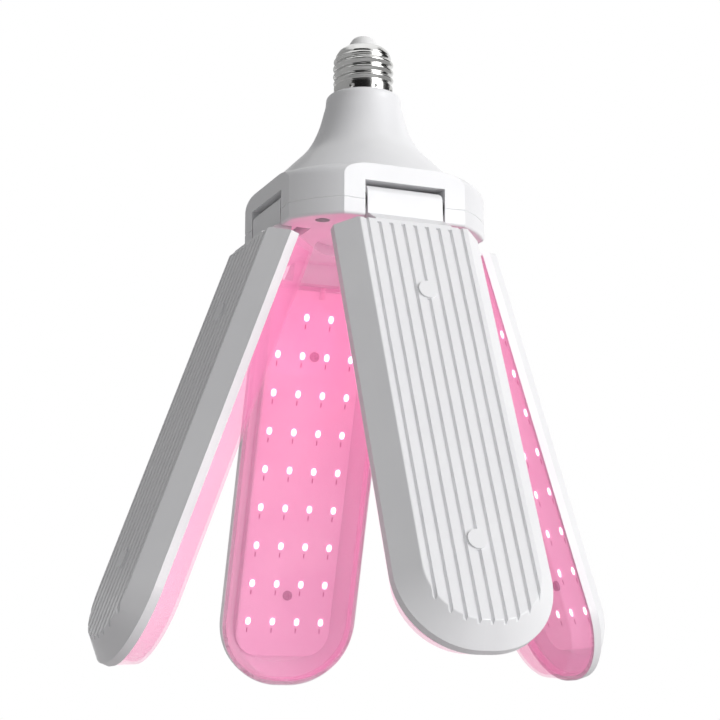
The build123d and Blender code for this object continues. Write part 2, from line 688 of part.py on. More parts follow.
# Mains leads from the screw cap down to the board
live_points = [
    (0, 0, CONTACT_Z - CONTACT_STEM_LENGTH - TOUCH_GAP),
    (0, 0, LIVE_LEAD_DROP_Z),
    (*LIVE_LEAD_FOOT_PLACE, LIVE_LEAD_BEND_Z),
    (*LIVE_LEAD_FOOT_PLACE, driver_top_z),
]
live_lead = lead(live_points, LIVE_LEAD_BENDS, MAINS_LEAD_R)
save(live_lead, "live_lead")
shell_touch_r = CAP_BORE_R - MAINS_LEAD_R - TOUCH_GAP
neck_run_r = spigot_bore_r - MAINS_LEAD_R - SPIGOT_GAP
neutral_foot = (neck_run_r + NEUTRAL_LEAD_SHIFT[0], NEUTRAL_LEAD_SHIFT[1])
neutral_points = [
    (shell_touch_r, 0, SPIGOT_HEIGHT + NEUTRAL_LEAD_RISES[0]),
    (shell_touch_r, 0, SPIGOT_HEIGHT + NEUTRAL_LEAD_RISES[1]),
    (neck_run_r, 0, SPIGOT_HEIGHT + NEUTRAL_LEAD_RISES[2]),
    (neck_run_r, 0, driver_top_z + NEUTRAL_LEAD_FEET[0]),
    (*neutral_foot, driver_top_z + NEUTRAL_LEAD_FEET[1]),
    (*neutral_foot, driver_top_z),
]
neutral_lead = lead(neutral_points, NEUTRAL_LEAD_BENDS, MAINS_LEAD_R)
save(neutral_lead, "neutral_lead")


board_screw_points = [(0, -FIRST_ROW - row * ROW_PITCH) for row in BOARD_SCREW_ROWS]


def make_knuckle(frame, axle):
    """Draw the knuckle: a round barrel, flat on the side that is flush with the hub, and its tongue."""
    tilt = math.radians(KNUCKLE_TILT)
    out = Vector(math.cos(tilt), math.sin(tilt))
    up = Vector(math.sin(tilt), -math.cos(tilt))
    edge = BARREL_R - KNUCKLE_EDGE_R
    wall_top = PANEL_TOP + PANEL_WALL
    with BuildSketch(axle.offset(-BARREL_HALF)) as section:
        Circle(BARREL_R)
        with Locations((out + up) * edge):
            Circle(KNUCKLE_EDGE_R)
        with BuildLine():
            Polyline(
                (RIM_N, 0),
                up * BARREL_R,
                up * BARREL_R + out * edge,
                out * BARREL_R + up * edge,
                out * BARREL_R - up * KNUCKLE_FACE_DROP,
                (BACK_N, PANEL_TOP),
                (BACK_N, wall_top),
                (RIM_N, wall_top),
                close=True,
            )
        make_face()
    return section.sketch


def make_housing(frame):
    """Make a panel's white back: hinge barrel, tongue, ribbed tray with sloping sides and an upright rim."""
    axle = panel_axle(frame)
    with BuildPart() as housing:
        add(panel_outline(frame, RIM_N, 0, PANEL_TOP))
        extrude(amount=SLOPE_N - RIM_N, dir=frame.z_dir)
        loft(
            [
                panel_outline(frame, SLOPE_N, 0, PANEL_TOP),
                panel_outline(frame, BACK_N, BACK_INSET, PANEL_TOP),
            ],
            ruled=True,
        )
        along_back = Axis(frame.origin, frame.z_dir)
        back_edges = housing.faces().sort_by(along_back)[-1].edges()
        fillet(back_edges, BACK_EDGE_R)
        # Ribs stand between the grooves
        with BuildSketch(panel_end(frame, PANEL_TOP)):
            for step in range(RIB_COUNT - 1):
                middle = (step - (RIB_COUNT - 2) / 2) * RIB_PITCH
                with Locations((middle, BACK_N)):
                    Polygon(
                        (-GROOVE_TOP_WIDTH / 2, GROOVE_DEPTH),
                        (-GROOVE_TOP_WIDTH / 2, 0),
                        (-GROOVE_FLOOR_WIDTH / 2, -GROOVE_DEPTH),
                        (GROOVE_FLOOR_WIDTH / 2, -GROOVE_DEPTH),
                        (GROOVE_TOP_WIDTH / 2, 0),
                        (GROOVE_TOP_WIDTH / 2, GROOVE_DEPTH),
                        align=None,
                    )
        extrude(amount=PANEL_TIP - PANEL_TOP, mode=Mode.SUBTRACT)
        # Barrel and tongue
        wall_top = PANEL_TOP + PANEL_WALL
        add(make_knuckle(frame, axle))
        extrude(amount=2 * BARREL_HALF, dir=axle.z_dir)
        # One top corner of the barrel is rounded
        tilt = math.radians(KNUCKLE_TILT)
        face_out = frame.z_dir * math.cos(tilt) - frame.y_dir * math.sin(tilt)
        corner = (BARREL_HALF - KNUCKLE_CORNER_R, BARREL_R - KNUCKLE_CORNER_R)
        with BuildSketch(Plane(origin=frame.origin, x_dir=frame.x_dir, z_dir=face_out)):
            with Locations((corner[0] + KNUCKLE_CORNER_R, corner[1] + KNUCKLE_CORNER_R)):
                Rectangle(2 * KNUCKLE_CORNER_R, 2 * KNUCKLE_CORNER_R)
            with Locations(corner):
                Circle(KNUCKLE_CORNER_R, mode=Mode.SUBTRACT)
        extrude(amount=2 * BARREL_R, both=True, mode=Mode.SUBTRACT)
        # Bosses that the board screws bite into show as round pads on the back
        with BuildSketch(frame.offset(BOARD_BACK_N)):
            with Locations(*board_screw_points):
                Circle(BOSS_R)
        extrude(amount=BACK_N + BOSS_PROUD - BOARD_BACK_N)
        # The tray's hollow, leaving the bosses
        add(panel_outline(frame, RIM_N, RIM_WALL, wall_top))
        extrude(amount=SLOPE_N - RIM_N, dir=frame.z_dir, mode=Mode.SUBTRACT)
        floor_inset = BACK_INSET * (FLOOR_N - SLOPE_N) / (BACK_N - SLOPE_N) + SLOPE_WALL_INSET
        loft(
            [
                panel_outline(frame, SLOPE_N, SLOPE_WALL_INSET, wall_top),
                panel_outline(frame, FLOOR_N, floor_inset, wall_top),
            ],
            ruled=True,
            mode=Mode.SUBTRACT,
        )
        with BuildSketch(frame.offset(BOARD_BACK_N)):
            with Locations(*board_screw_points):
                Circle(BOSS_R)
        extrude(amount=BACK_N - BOARD_BACK_N)
        with BuildSketch(frame.offset(BOARD_BACK_N)):
            with Locations(*board_screw_points):
                Circle(BOARD_SCREW_R)
        extrude(amount=BOARD_SCREW_DEPTH, mode=Mode.SUBTRACT)
        # Bore for the pins and the hole that brings the lead down the tongue
        with BuildSketch(axle):
            Circle(PIN_R)
        extrude(amount=BARREL_HALF, both=True, mode=Mode.SUBTRACT)
        with BuildSketch(Plane(origin=frame.origin, z_dir=lead_direction(frame))):
            Circle(LEAD_HOLE_R)
        extrude(amount=PANEL_TOP + 2 * PANEL_WALL, mode=Mode.SUBTRACT)
    return housing


def lead_direction(frame):
    """Return the way the lead hole runs: down the panel and a little towards its back."""
    return (frame.z_dir * LEAD_HOLE_RISE - frame.y_dir * PANEL_TOP).normalized()


def make_board(frame):
    """Make a panel's light board with its two screw holes."""
    with BuildPart() as board:
        add(panel_outline(frame, BOARD_FRONT_N, 0, BOARD_TOP, BOARD_TIP, BOARD_HALF, BOARD_TIP_R))
        extrude(amount=BOARD_THICKNESS, dir=frame.z_dir)
        with BuildSketch(frame.offset(BOARD_FRONT_N)):
            with Locations(*board_screw_points):
                Circle(BOARD_SCREW_R + SCREW_PLAY)
        extrude(amount=BOARD_THICKNESS, mode=Mode.SUBTRACT)
    return board


def lamp_points():
    """Return the lamp centres on a board: two in the first row, four in each of the others."""
    points = []
    for row in range(ROW_COUNT):
        for column in range(COLUMN_COUNT):
            outer = column in (0, COLUMN_COUNT - 1)
            if row == 0 and outer:
                continue
            points.append(((column - (COLUMN_COUNT - 1) / 2) * COLUMN_PITCH, -FIRST_ROW - row * ROW_PITCH))
    return points


def make_lamps(frame):
    """Make a panel's LED packages, each with a round window sunk in its face."""
    with BuildPart() as lamps:
        with BuildSketch(frame.offset(BOARD_FRONT_N)):
            with Locations(*lamp_points()):
                Rectangle(LAMP_WIDTH, LAMP_LENGTH)
        extrude(amount=-LAMP_HEIGHT)
        with BuildSketch(frame.offset(BOARD_FRONT_N - LAMP_HEIGHT)):
            with Locations(*lamp_points()):
                Circle(LAMP_WINDOW_R)
        extrude(amount=LAMP_WINDOW_DEPTH, mode=Mode.SUBTRACT)
    return lamps


def make_lens(frame):
    """Make a panel's clear cover: a shallow tray with a lip that plugs into the rim."""
    front_inset = LENS_INSET + LENS_FRONT_INSET
    lip_top = PANEL_TOP + PANEL_WALL + LENS_LIP_GAP
    lip_outer = RIM_WALL + LENS_LIP_GAP
    lip_inner = lip_outer + LENS_LIP_WALL
    cavity_n = LENS_FRONT_N + LENS_WALL
    cavity_inset = LENS_INSET + LENS_FRONT_INSET * (1 - LENS_WALL / LENS_DEPTH) + LENS_WALL
    cavity_top = PANEL_TOP + LENS_INSET + LENS_WALL
    with BuildPart() as lens:
        loft(
            [
                panel_outline(frame, RIM_N, LENS_INSET, PANEL_TOP + LENS_INSET),
                panel_outline(frame, LENS_FRONT_N, front_inset, PANEL_TOP + LENS_INSET + LENS_WALL / 2),
            ],
            ruled=True,
        )
        along_back = Axis(frame.origin, frame.z_dir)
        fillet(lens.faces().sort_by(along_back)[0].edges(), LENS_EDGE_R)
        add(panel_outline(frame, RIM_N, lip_outer, lip_top))
        extrude(amount=LENS_LIP, dir=frame.z_dir)
        add(panel_outline(frame, RIM_N, lip_inner, lip_top + LENS_LIP_WALL))
        extrude(amount=LENS_LIP, dir=frame.z_dir, mode=Mode.SUBTRACT)
        loft(
            [
                panel_outline(frame, RIM_N, lip_inner, lip_top + LENS_LIP_WALL),
                panel_outline(frame, cavity_n, cavity_inset, cavity_top + LENS_WALL),
            ],
            ruled=True,
            mode=Mode.SUBTRACT,
        )
    return lens


def make_pins(frame):
    """Make a hinge's two hollow stub pins."""
    axle = panel_axle(frame)
    with BuildPart() as pins:
        for side in (-1, 1):
            with BuildSketch(axle.offset(side * PIN_INNER)):
                Circle(PIN_R)
                Circle(PIN_BORE_R, mode=Mode.SUBTRACT)
            extrude(amount=side * (PIN_OUTER - PIN_INNER))
    return pins


def make_washers(frame):
    """Make the two friction washers between the barrel and the walls of its recess."""
    axle = panel_axle(frame)
    with BuildPart() as washers:
        for side in (-1, 1):
            with BuildSketch(axle.offset(side * (BARREL_HALF + WASHER_GAP))):
                Circle(WASHER_R)
                Circle(PIN_R + HINGE_RUNNING_GAP, mode=Mode.SUBTRACT)
            extrude(amount=side * (RECESS_HALF - BARREL_HALF - 2 * WASHER_GAP))
    return washers


def make_panel_lead(frame):
    """Make the lead from the light board up through the tongue and out along the hinge axis."""
    pad_n = BOARD_FRONT_N - PANEL_LEAD_R - TOUCH_GAP
    knee = lead_direction(frame) * (BOARD_TOP + PANEL_WALL)
    points = [
        frame.origin + frame.x_dir * (PIN_OUTER + PIN_END_GAP),
        frame.origin,
        frame.origin + knee,
        frame.origin - frame.y_dir * (BOARD_TOP + PANEL_LEAD_TAIL) + frame.z_dir * pad_n,
    ]
    return lead(points, PANEL_LEAD_BENDS, PANEL_LEAD_R)


def make_hub_lead(azimuth):
    """Make the lead that carries on from a hinge's end, over the hinge box and under the driver board."""
    plane = side_plane(azimuth, 0)
    start = SADDLE_HALF + SPLICE_GAP
    corner = start + HUB_LEAD_OUT
    rise_z = HINGE_Z + HUB_LEAD_RISE
    pad_z = DRIVER_Z - PANEL_LEAD_R - TOUCH_GAP
    points = [
        plane.from_local_coords(Vector(HINGE_R, start, HINGE_Z)),
        plane.from_local_coords(Vector(HINGE_R, corner, HINGE_Z)),
        plane.from_local_coords(Vector(HINGE_R - HUB_LEAD_LEAN, corner, rise_z)),
        plane.from_local_coords(Vector(*HUB_LEAD_BEND_PLACE, pad_z)),
        plane.from_local_coords(Vector(*HUB_LEAD_END_PLACE, pad_z)),
    ]
    return lead(points, HUB_LEAD_BENDS, PANEL_LEAD_R)


# One set of pieces for each panel
for side, (azimuth, lean) in PANELS.items():
    frame = panel_frame(azimuth, lean)
    save(make_housing(frame), f"panel_housing_{side}")
    save(make_board(frame), f"light_board_{side}")
    save(make_lamps(frame), f"lamps_{side}")
    save(make_lens(frame), f"lens_{side}")
    board_screws = screw(
        frame.offset(BOARD_FRONT_N),
        board_screw_points,
        BOARD_SCREW_R,
        BOARD_SCREW_DEPTH + BOARD_THICKNESS - SCREW_PLAY,
        BOARD_SCREW_HEAD_R,
        BOARD_SCREW_HEAD_HEIGHT,
    )
    save(board_screws, f"board_screws_{side}")
    save(make_pins(frame), f"hinge_pins_{side}")
    save(make_washers(frame), f"friction_washers_{side}")
    save(make_panel_lead(frame), f"panel_lead_{side}")
    save(make_hub_lead(azimuth), f"hub_lead_{side}")
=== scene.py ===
"""Looks of the folding LED bulb: finishes, the rolled screw cap, the LEDs, the studio and the camera."""

import json
import logging
import math
from dataclasses import dataclass
from enum import Enum

import bmesh
import bpy
from mathutils import Matrix, Vector

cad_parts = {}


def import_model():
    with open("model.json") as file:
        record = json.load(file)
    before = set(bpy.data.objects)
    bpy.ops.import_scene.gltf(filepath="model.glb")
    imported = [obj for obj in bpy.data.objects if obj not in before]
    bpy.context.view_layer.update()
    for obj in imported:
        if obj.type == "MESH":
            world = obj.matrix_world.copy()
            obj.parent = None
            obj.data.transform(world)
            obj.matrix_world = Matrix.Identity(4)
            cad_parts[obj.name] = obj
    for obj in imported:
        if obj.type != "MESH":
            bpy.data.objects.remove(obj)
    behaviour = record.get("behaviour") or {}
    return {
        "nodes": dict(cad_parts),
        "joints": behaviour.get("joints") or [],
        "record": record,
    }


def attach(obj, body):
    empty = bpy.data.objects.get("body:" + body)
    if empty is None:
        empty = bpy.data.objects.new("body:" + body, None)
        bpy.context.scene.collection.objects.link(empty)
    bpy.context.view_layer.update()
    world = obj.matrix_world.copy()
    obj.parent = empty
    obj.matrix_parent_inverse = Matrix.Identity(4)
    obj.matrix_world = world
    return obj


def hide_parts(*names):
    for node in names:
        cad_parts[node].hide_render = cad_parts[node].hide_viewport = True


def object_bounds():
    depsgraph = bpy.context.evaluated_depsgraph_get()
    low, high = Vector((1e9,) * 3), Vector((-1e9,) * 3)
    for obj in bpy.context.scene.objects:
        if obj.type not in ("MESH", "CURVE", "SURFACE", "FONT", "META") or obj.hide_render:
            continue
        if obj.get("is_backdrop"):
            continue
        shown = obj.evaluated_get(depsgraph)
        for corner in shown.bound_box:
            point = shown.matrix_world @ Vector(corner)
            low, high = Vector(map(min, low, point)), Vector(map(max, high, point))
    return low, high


MM = 0.001
RELIEF_DEPTH = 0.1 * MM
SMOOTH_ANGLE = 50.0
log = logging.getLogger("led_bulb")
Colour = tuple[float, float, float]
CurvePoints = tuple[tuple[float, float], ...]


class Side(Enum):
    """The four light panels: the direction each faces and its lean at rest, in degrees."""

    FRONT = ("front", -90.0, 21.7)
    RIGHT = ("right", 0.0, 17.7)
    REAR = ("rear", 90.0, 17.2)
    LEFT = ("left", 180.0, 20.4)

    @property
    def label(self) -> str:
        """Name of the panel."""
        return self.value[0]

    @property
    def body(self) -> str:
        """Name of the CAD body that the panel is."""
        return f"panel_{self.label}"


class Relief(Enum):
    """The fine pattern a finish has in its surface."""

    MOULDED = "moulded"
    TURNED = "turned"
    BOARD = "board"


def add_node(tree: bpy.types.NodeTree, kind: str, **settings: object) -> bpy.types.Node:
    """Adds a node and sets its properties.

    Args:
        tree: the tree it goes into.
        kind: Blender's name of the node type.
        settings: properties of the node.

    Returns:
        The node.
    """
    node = tree.nodes.new(kind)
    for name, value in settings.items():
        setattr(node, name, value)
    return node


def feed(tree: bpy.types.NodeTree, socket: bpy.types.NodeSocket, value: object) -> None:
    """Links an output socket to an input, or sets the input to a plain value.

    Args:
        tree: the tree that holds the socket.
        socket: the input.
        value: an output socket or a constant.
    """
    if isinstance(value, bpy.types.NodeSocket):
        tree.links.new(value, socket)
    else:
        socket.default_value = value


def maths(tree: bpy.types.NodeTree, operation: str, *values: object) -> bpy.types.NodeSocket:
    """Adds a Math node.

    Args:
        tree: the tree it goes into.
        operation: the node's operation.
        values: its inputs, sockets or numbers.

    Returns:
        Its output socket.
    """
    node = add_node(tree, "ShaderNodeMath", operation=operation)
    for socket, value in zip(node.inputs, values):
        feed(tree, socket, value)
    return node.outputs[0]


def remap(
    tree: bpy.types.NodeTree, value: object, low: object, high: object, start: object, end: object
) -> bpy.types.NodeSocket:
    """Maps a value from low..high to start..end, smoothly and clamped.

    Args:
        tree: the tree it goes into.
        value: what is mapped.
        low: lower end of its range.
        high: upper end of its range.
        start: result at the lower end.
        end: result at the upper end.

    Returns:
        The mapped value.
    """
    node = add_node(tree, "ShaderNodeMapRange", interpolation_type="SMOOTHSTEP")
    names = ("Value", "From Min", "From Max", "To Min", "To Max")
    for name, item in zip(names, (value, low, high, start, end)):
        feed(tree, node.inputs[name], item)
    return node.outputs[0]


def new_group(
    name: str, kind: str, inputs: dict[str, tuple[str, object]], outputs: dict[str, str]
) -> bpy.types.NodeTree:
    """Makes an empty node group with named sockets.

    Args:
        name: the group's name.
        kind: the type of tree.
        inputs: socket name to its type and default value.
        outputs: socket name to its type.

    Returns:
        The group.
    """
    group = bpy.data.node_groups.new(name, kind)
    for label, (socket_type, value) in inputs.items():
        socket = group.interface.new_socket(name=label, in_out="INPUT", socket_type=socket_type)
        if value is not None:
            socket.default_value = value
    for label, socket_type in outputs.items():
        group.interface.new_socket(name=label, in_out="OUTPUT", socket_type=socket_type)
    return group


@dataclass(frozen=True)
class SurfaceTone:
    """Shader group that breaks up a plain colour with soft clouds of tone, and gives a fine grain."""

    cloud_scale: float = 28.0
    cloud_detail: float = 5.0
    cloud_range: tuple[float, float] = (0.35, 0.65)
    grain_scale: float = 2600.0
    grain_detail: float = 2.0

    def build(self) -> bpy.types.NodeTree:
        """Builds the group with inputs for colour, contrast, roughness and grain."""
        inputs = {
            "Color": ("NodeSocketColor", (0.8, 0.8, 0.8, 1.0)),
            "Shade": ("NodeSocketColor", (0.7, 0.7, 0.7, 1.0)),
            "Contrast": ("NodeSocketFloat", 0.3),
            "Roughness": ("NodeSocketFloat", 0.4),
            "Roughness Spread": ("NodeSocketFloat", 0.08),
        }
        outputs = {"Color": "NodeSocketColor", "Roughness": "NodeSocketFloat", "Height": "NodeSocketFloat"}
        group = new_group("surface_tone", "ShaderNodeTree", inputs, outputs)
        source = add_node(group, "NodeGroupInput")
        result = add_node(group, "NodeGroupOutput")
        place = add_node(group, "ShaderNodeTexCoord").outputs["Object"]
        clouds = add_node(group, "ShaderNodeTexNoise")
        grain = add_node(group, "ShaderNodeTexNoise")
        sizes = ((clouds, self.cloud_scale, self.cloud_detail), (grain, self.grain_scale, self.grain_detail))
        for node, scale, detail in sizes:
            feed(group, node.inputs["Vector"], place)
            feed(group, node.inputs["Scale"], scale)
            feed(group, node.inputs["Detail"], detail)
        tone = remap(group, clouds.outputs["Fac"], *self.cloud_range, 0.0, 1.0)
        amount = maths(group, "MULTIPLY", tone, source.outputs["Contrast"])
        blend = add_node(group, "ShaderNodeMix", data_type="RGBA")
        feed(group, blend.inputs["Factor"], amount)
        feed(group, blend.inputs[6], source.outputs["Color"])
        feed(group, blend.inputs[7], source.outputs["Shade"])
        offset = maths(group, "SUBTRACT", tone, 0.5)
        spread = maths(group, "MULTIPLY", offset, source.outputs["Roughness Spread"])
        feed(group, result.inputs["Color"], blend.outputs[2])
        feed(group, result.inputs["Roughness"], maths(group, "ADD", source.outputs["Roughness"], spread))
        feed(group, result.inputs["Height"], grain.outputs["Fac"])
        return group


@dataclass(frozen=True)
class Finish:
    """One surface finish.

    The constants go on the shader's own sockets, and the shared tone group breaks up colour and roughness.
    """

    name: str
    colour: Colour
    shade: Colour
    contrast: float = 0.3
    roughness: float = 0.4
    spread: float = 0.08
    metallic: float = 0.0
    bump: float = 0.04
    relief: Relief = Relief.MOULDED
    ior: float = 1.46
    coat: float = 0.0
    alpha: float = 1.0
    glow: Colour | None = None
    glow_strength: float = 0.0
    ring_scale: float = 900.0
    ring_wobble: float = 1.5
    track_scale: float = 60.0
    track_width: float = 0.012
    track_strength: float = 0.6

    def build(self, tone: bpy.types.NodeTree) -> bpy.types.Material:
        """Builds the material.

        Args:
            tone: the shared tone group.

        Returns:
            The material.
        """
        material = bpy.data.materials.new(self.name)
        material.use_nodes = True
        tree = material.node_tree
        tree.nodes.clear()
        shader = add_node(tree, "ShaderNodeBsdfPrincipled")
        output = add_node(tree, "ShaderNodeOutputMaterial")
        tree.links.new(shader.outputs[0], output.inputs["Surface"])
        surface = add_node(tree, "ShaderNodeGroup", node_tree=tone)
        feed(tree, surface.inputs["Color"], (*self.colour, 1.0))
        feed(tree, surface.inputs["Shade"], (*self.shade, 1.0))
        feed(tree, surface.inputs["Contrast"], self.contrast)
        feed(tree, surface.inputs["Roughness"], self.roughness)
        feed(tree, surface.inputs["Roughness Spread"], self.spread)
        feed(tree, shader.inputs["Base Color"], surface.outputs["Color"])
        feed(tree, shader.inputs["Roughness"], surface.outputs["Roughness"])
        feed(tree, shader.inputs["Metallic"], self.metallic)
        feed(tree, shader.inputs["IOR"], self.ior)
        feed(tree, shader.inputs["Coat Weight"], self.coat)
        feed(tree, shader.inputs["Alpha"], self.alpha)
        # Emission: the lamp on the LED windows, and painted light from the LEDs on the board, cover and LED
        # bodies.
        if self.glow is not None:
            feed(tree, shader.inputs["Emission Color"], self._glow_colour(tree, surface))
            feed(tree, shader.inputs["Emission Strength"], self.glow_strength)
        if self.bump > 0.0:
            bump = add_node(tree, "ShaderNodeBump")
            feed(tree, bump.inputs["Strength"], self.bump)
            feed(tree, bump.inputs["Distance"], RELIEF_DEPTH)
            feed(tree, bump.inputs["Height"], self._height(tree, surface))
            feed(tree, shader.inputs["Normal"], bump.outputs["Normal"])
        return material

    def _height(self, tree: bpy.types.NodeTree, surface: bpy.types.Node) -> bpy.types.NodeSocket:
        """Returns the relief's height: moulded grain, or fine rings round the bulb's axis."""
        if self.relief is not Relief.TURNED:
            return surface.outputs["Height"]
        place = add_node(tree, "ShaderNodeTexCoord").outputs["Object"]
        rings = add_node(tree, "ShaderNodeTexWave", wave_type="BANDS", bands_direction="Z")
        feed(tree, rings.inputs["Vector"], place)
        feed(tree, rings.inputs["Scale"], self.ring_scale)
        feed(tree, rings.inputs["Distortion"], self.ring_wobble)
        return maths(tree, "ADD", rings.outputs["Fac"], surface.outputs["Height"])

    def _glow_colour(self, tree: bpy.types.NodeTree, surface: bpy.types.Node) -> bpy.types.NodeSocket:
        """Returns the glow's colour, which the tone group varies a little, and on the board faint printed
        tracks. Only on the LED windows is the glow a lamp; on the board, cover and LED bodies it is painted
        light.
        """
        blend = add_node(tree, "ShaderNodeMix", data_type="RGBA", blend_type="MULTIPLY")
        feed(tree, blend.inputs["Factor"], 1.0)
        feed(tree, blend.inputs[6], (*self.glow, 1.0))
        feed(tree, blend.inputs[7], surface.outputs["Color"])
        if self.relief is not Relief.BOARD:
            return blend.outputs[2]
        place = add_node(tree, "ShaderNodeTexCoord").outputs["Object"]
        tracks = add_node(tree, "ShaderNodeTexBrick", offset=0.5)
        feed(tree, tracks.inputs["Vector"], place)
        feed(tree, tracks.inputs["Scale"], self.track_scale)
        feed(tree, tracks.inputs["Color1"], (1.0, 1.0, 1.0, 1.0))
        feed(tree, tracks.inputs["Color2"], (0.94, 0.93, 0.95, 1.0))
        feed(tree, tracks.inputs["Mortar"], (0.86, 0.82, 0.88, 1.0))
        feed(tree, tracks.inputs["Mortar Size"], self.track_width)
        lines = add_node(tree, "ShaderNodeMix", data_type="RGBA", blend_type="MULTIPLY")
        feed(tree, lines.inputs["Factor"], self.track_strength)
        feed(tree, lines.inputs[6], blend.outputs[2])
        feed(tree, lines.inputs[7], tracks.outputs["Color"])
        return lines.outputs[2]


WHITE_PLASTIC = Finish(
    "white_plastic", (0.86, 0.86, 0.875), (0.82, 0.82, 0.84),
    0.5, 0.36, 0.08, bump=0.05, coat=0.1,
)
NICKEL = Finish(
    "nickel_cap", (0.70, 0.70, 0.69), (0.52, 0.52, 0.51),
    0.7, 0.13, 0.10, 1.0, 0.12, Relief.TURNED,
)
INSULATOR = Finish("insulator_white", (0.85, 0.85, 0.85), (0.78, 0.78, 0.77), 0.4, 0.30, 0.1)
CONTACT = Finish(
    "contact_metal", (0.72, 0.70, 0.66), (0.50, 0.47, 0.42),
    0.6, 0.28, 0.15, 1.0, 0.1, Relief.TURNED,
)
# The cover's pink is partly its own light tint and partly painted light: the LEDs' glow caught in the clear
# plastic. Its glow is painted light too.
COVER = Finish(
    "clear_lens", (0.93, 0.42, 0.66), (0.88, 0.34, 0.60), 0.5, 0.03, 0.01,
    bump=0.0, ior=1.58, alpha=0.26, glow=(0.86, 0.56, 0.66), glow_strength=0.40,
)
# The board itself is white. Its pink colour and shade and its glow are painted light: the LEDs' pink light
# falling on it. The faint tracks in the glow are the board's print.
BOARD = Finish(
    "light_board", (0.68, 0.56, 0.65), (0.60, 0.44, 0.55), 0.5, 0.5, 0.1,
    relief=Relief.BOARD, glow=(0.68, 0.52, 0.53), glow_strength=0.52,
)
LED_WINDOW = Finish(
    "led_window", (1.0, 0.97, 0.99), (1.0, 0.93, 0.97),
    0.4, 0.3, 0.05, glow=(1.0, 0.84, 0.90), glow_strength=3.2,
)
# The LED bodies' pink colour and their glow are painted light: the LEDs' own light on their packages. Only
# the windows are lamps.
LED_BODY = Finish(
    "led_body", (0.92, 0.72, 0.83), (0.86, 0.62, 0.76),
    0.4, 0.35, 0.05, glow=(0.95, 0.60, 0.74), glow_strength=0.5,
)
SOLDER = Finish("solder_mark", (0.34, 0.06, 0.16), (0.24, 0.04, 0.11), 0.7, 0.3, 0.1, 0.4, 0.2)
STEEL = Finish("screw_steel", (0.22, 0.21, 0.22), (0.14, 0.13, 0.14), 0.6, 0.38, 0.12, 0.7, 0.1)
PIN_STEEL = Finish("pin_steel", (0.62, 0.62, 0.63), (0.48, 0.48, 0.49), 0.5, 0.28, 0.1, 1.0, 0.1)
DRIVER_BOARD = Finish("circuit_board", (0.10, 0.28, 0.14), (0.07, 0.20, 0.10), 0.6, 0.45, 0.1)
SLEEVE = Finish("capacitor_sleeve", (0.05, 0.06, 0.10), (0.03, 0.03, 0.06), 0.5, 0.25, 0.1)
EPOXY = Finish("component_black", (0.03, 0.03, 0.03), (0.05, 0.05, 0.05), 0.5, 0.55, 0.1, bump=0.2)
FILM = Finish("film_capacitor_yellow", (0.60, 0.42, 0.07), (0.48, 0.32, 0.05), 0.5, 0.35, 0.1)
FERRITE = Finish("ferrite", (0.07, 0.07, 0.08), (0.04, 0.04, 0.04), 0.6, 0.7, 0.1, bump=0.3)
COPPER = Finish("copper_wire", (0.62, 0.26, 0.12), (0.45, 0.16, 0.07), 0.6, 0.3, 0.1, 1.0, 0.3, Relief.TURNED)
RESISTOR = Finish("resistor_body", (0.25, 0.40, 0.55), (0.18, 0.30, 0.44), 0.5, 0.4, 0.1)
INSULATION = Finish("lead_insulation", (0.80, 0.80, 0.79), (0.72, 0.72, 0.70), 0.5, 0.45, 0.1)
WASHER = Finish("washer_rubber", (0.05, 0.05, 0.05), (0.08, 0.08, 0.08), 0.5, 0.75, 0.1, bump=0.3)

SLOT_FINISHES = {
    finish.name: finish
    for finish in (
        WHITE_PLASTIC, NICKEL, INSULATOR, CONTACT, COVER, BOARD, STEEL, PIN_STEEL, DRIVER_BOARD, SLEEVE,
        EPOXY, FILM, FERRITE, COPPER, RESISTOR, INSULATION, WASHER,
    )
}
SLOT_FINISHES["lamp"] = LED_WINDOW


class Palette:
    """Builds each finish once and hands out its material."""

    def __init__(self) -> None:
        """Builds the shared tone group."""
        self.tone = SurfaceTone().build()
        self.made: dict[str, bpy.types.Material] = {}

    def get(self, finish: Finish) -> bpy.types.Material:
        """Returns the finish's material."""
        if finish.name not in self.made:
            self.made[finish.name] = finish.build(self.tone)
        return self.made[finish.name]


def baked(helper: bpy.types.Object, name: str) -> bpy.types.Object:
    """Turns an object's evaluated shape into a plain mesh object at the origin and deletes the helper.

    Args:
        helper: the object with its modifiers.
        name: name of the new object.

    Returns:
        The new object.
    """
    depsgraph = bpy.context.evaluated_depsgraph_get()
    mesh = bpy.data.meshes.new_from_object(helper.evaluated_get(depsgraph), depsgraph=depsgraph)
    mesh.name = name
    piece = bpy.data.objects.new(name, mesh)
    bpy.context.scene.collection.objects.link(piece)
    bpy.data.objects.remove(helper)
    return piece


def run_tree(tree: bpy.types.NodeTree, values: dict[str, object], name: str) -> bpy.types.Object:
    """Runs a Geometry Nodes tree with these inputs and keeps its result as a plain mesh.

    Args:
        tree: the tree.
        values: input name to value.
        name: name of the piece.

    Returns:
        The piece.
    """
    helper = bpy.data.objects.new(f"{name}_helper", bpy.data.meshes.new(f"{name}_helper"))
    bpy.context.scene.collection.objects.link(helper)
    modifier = helper.modifiers.new("nodes", "NODES")
    modifier.node_group = tree
    for item in tree.interface.items_tree:
        if item.in_out == "INPUT" and item.name in values:
            modifier[item.identifier] = values[item.name]
    return baked(helper, name)


def shade_smooth(piece: bpy.types.Object, angle: float) -> None:
    """Smooths a piece's shading but keeps edges sharper than the angle, in degrees."""
    mesh = piece.data
    mesh.shade_smooth()
    shape = bmesh.new()
    shape.from_mesh(mesh)
    for edge in shape.edges:
        edge.smooth = len(edge.link_faces) < 2 or edge.calc_face_angle(0.0) < math.radians(angle)
    shape.to_mesh(mesh)
    shape.free()


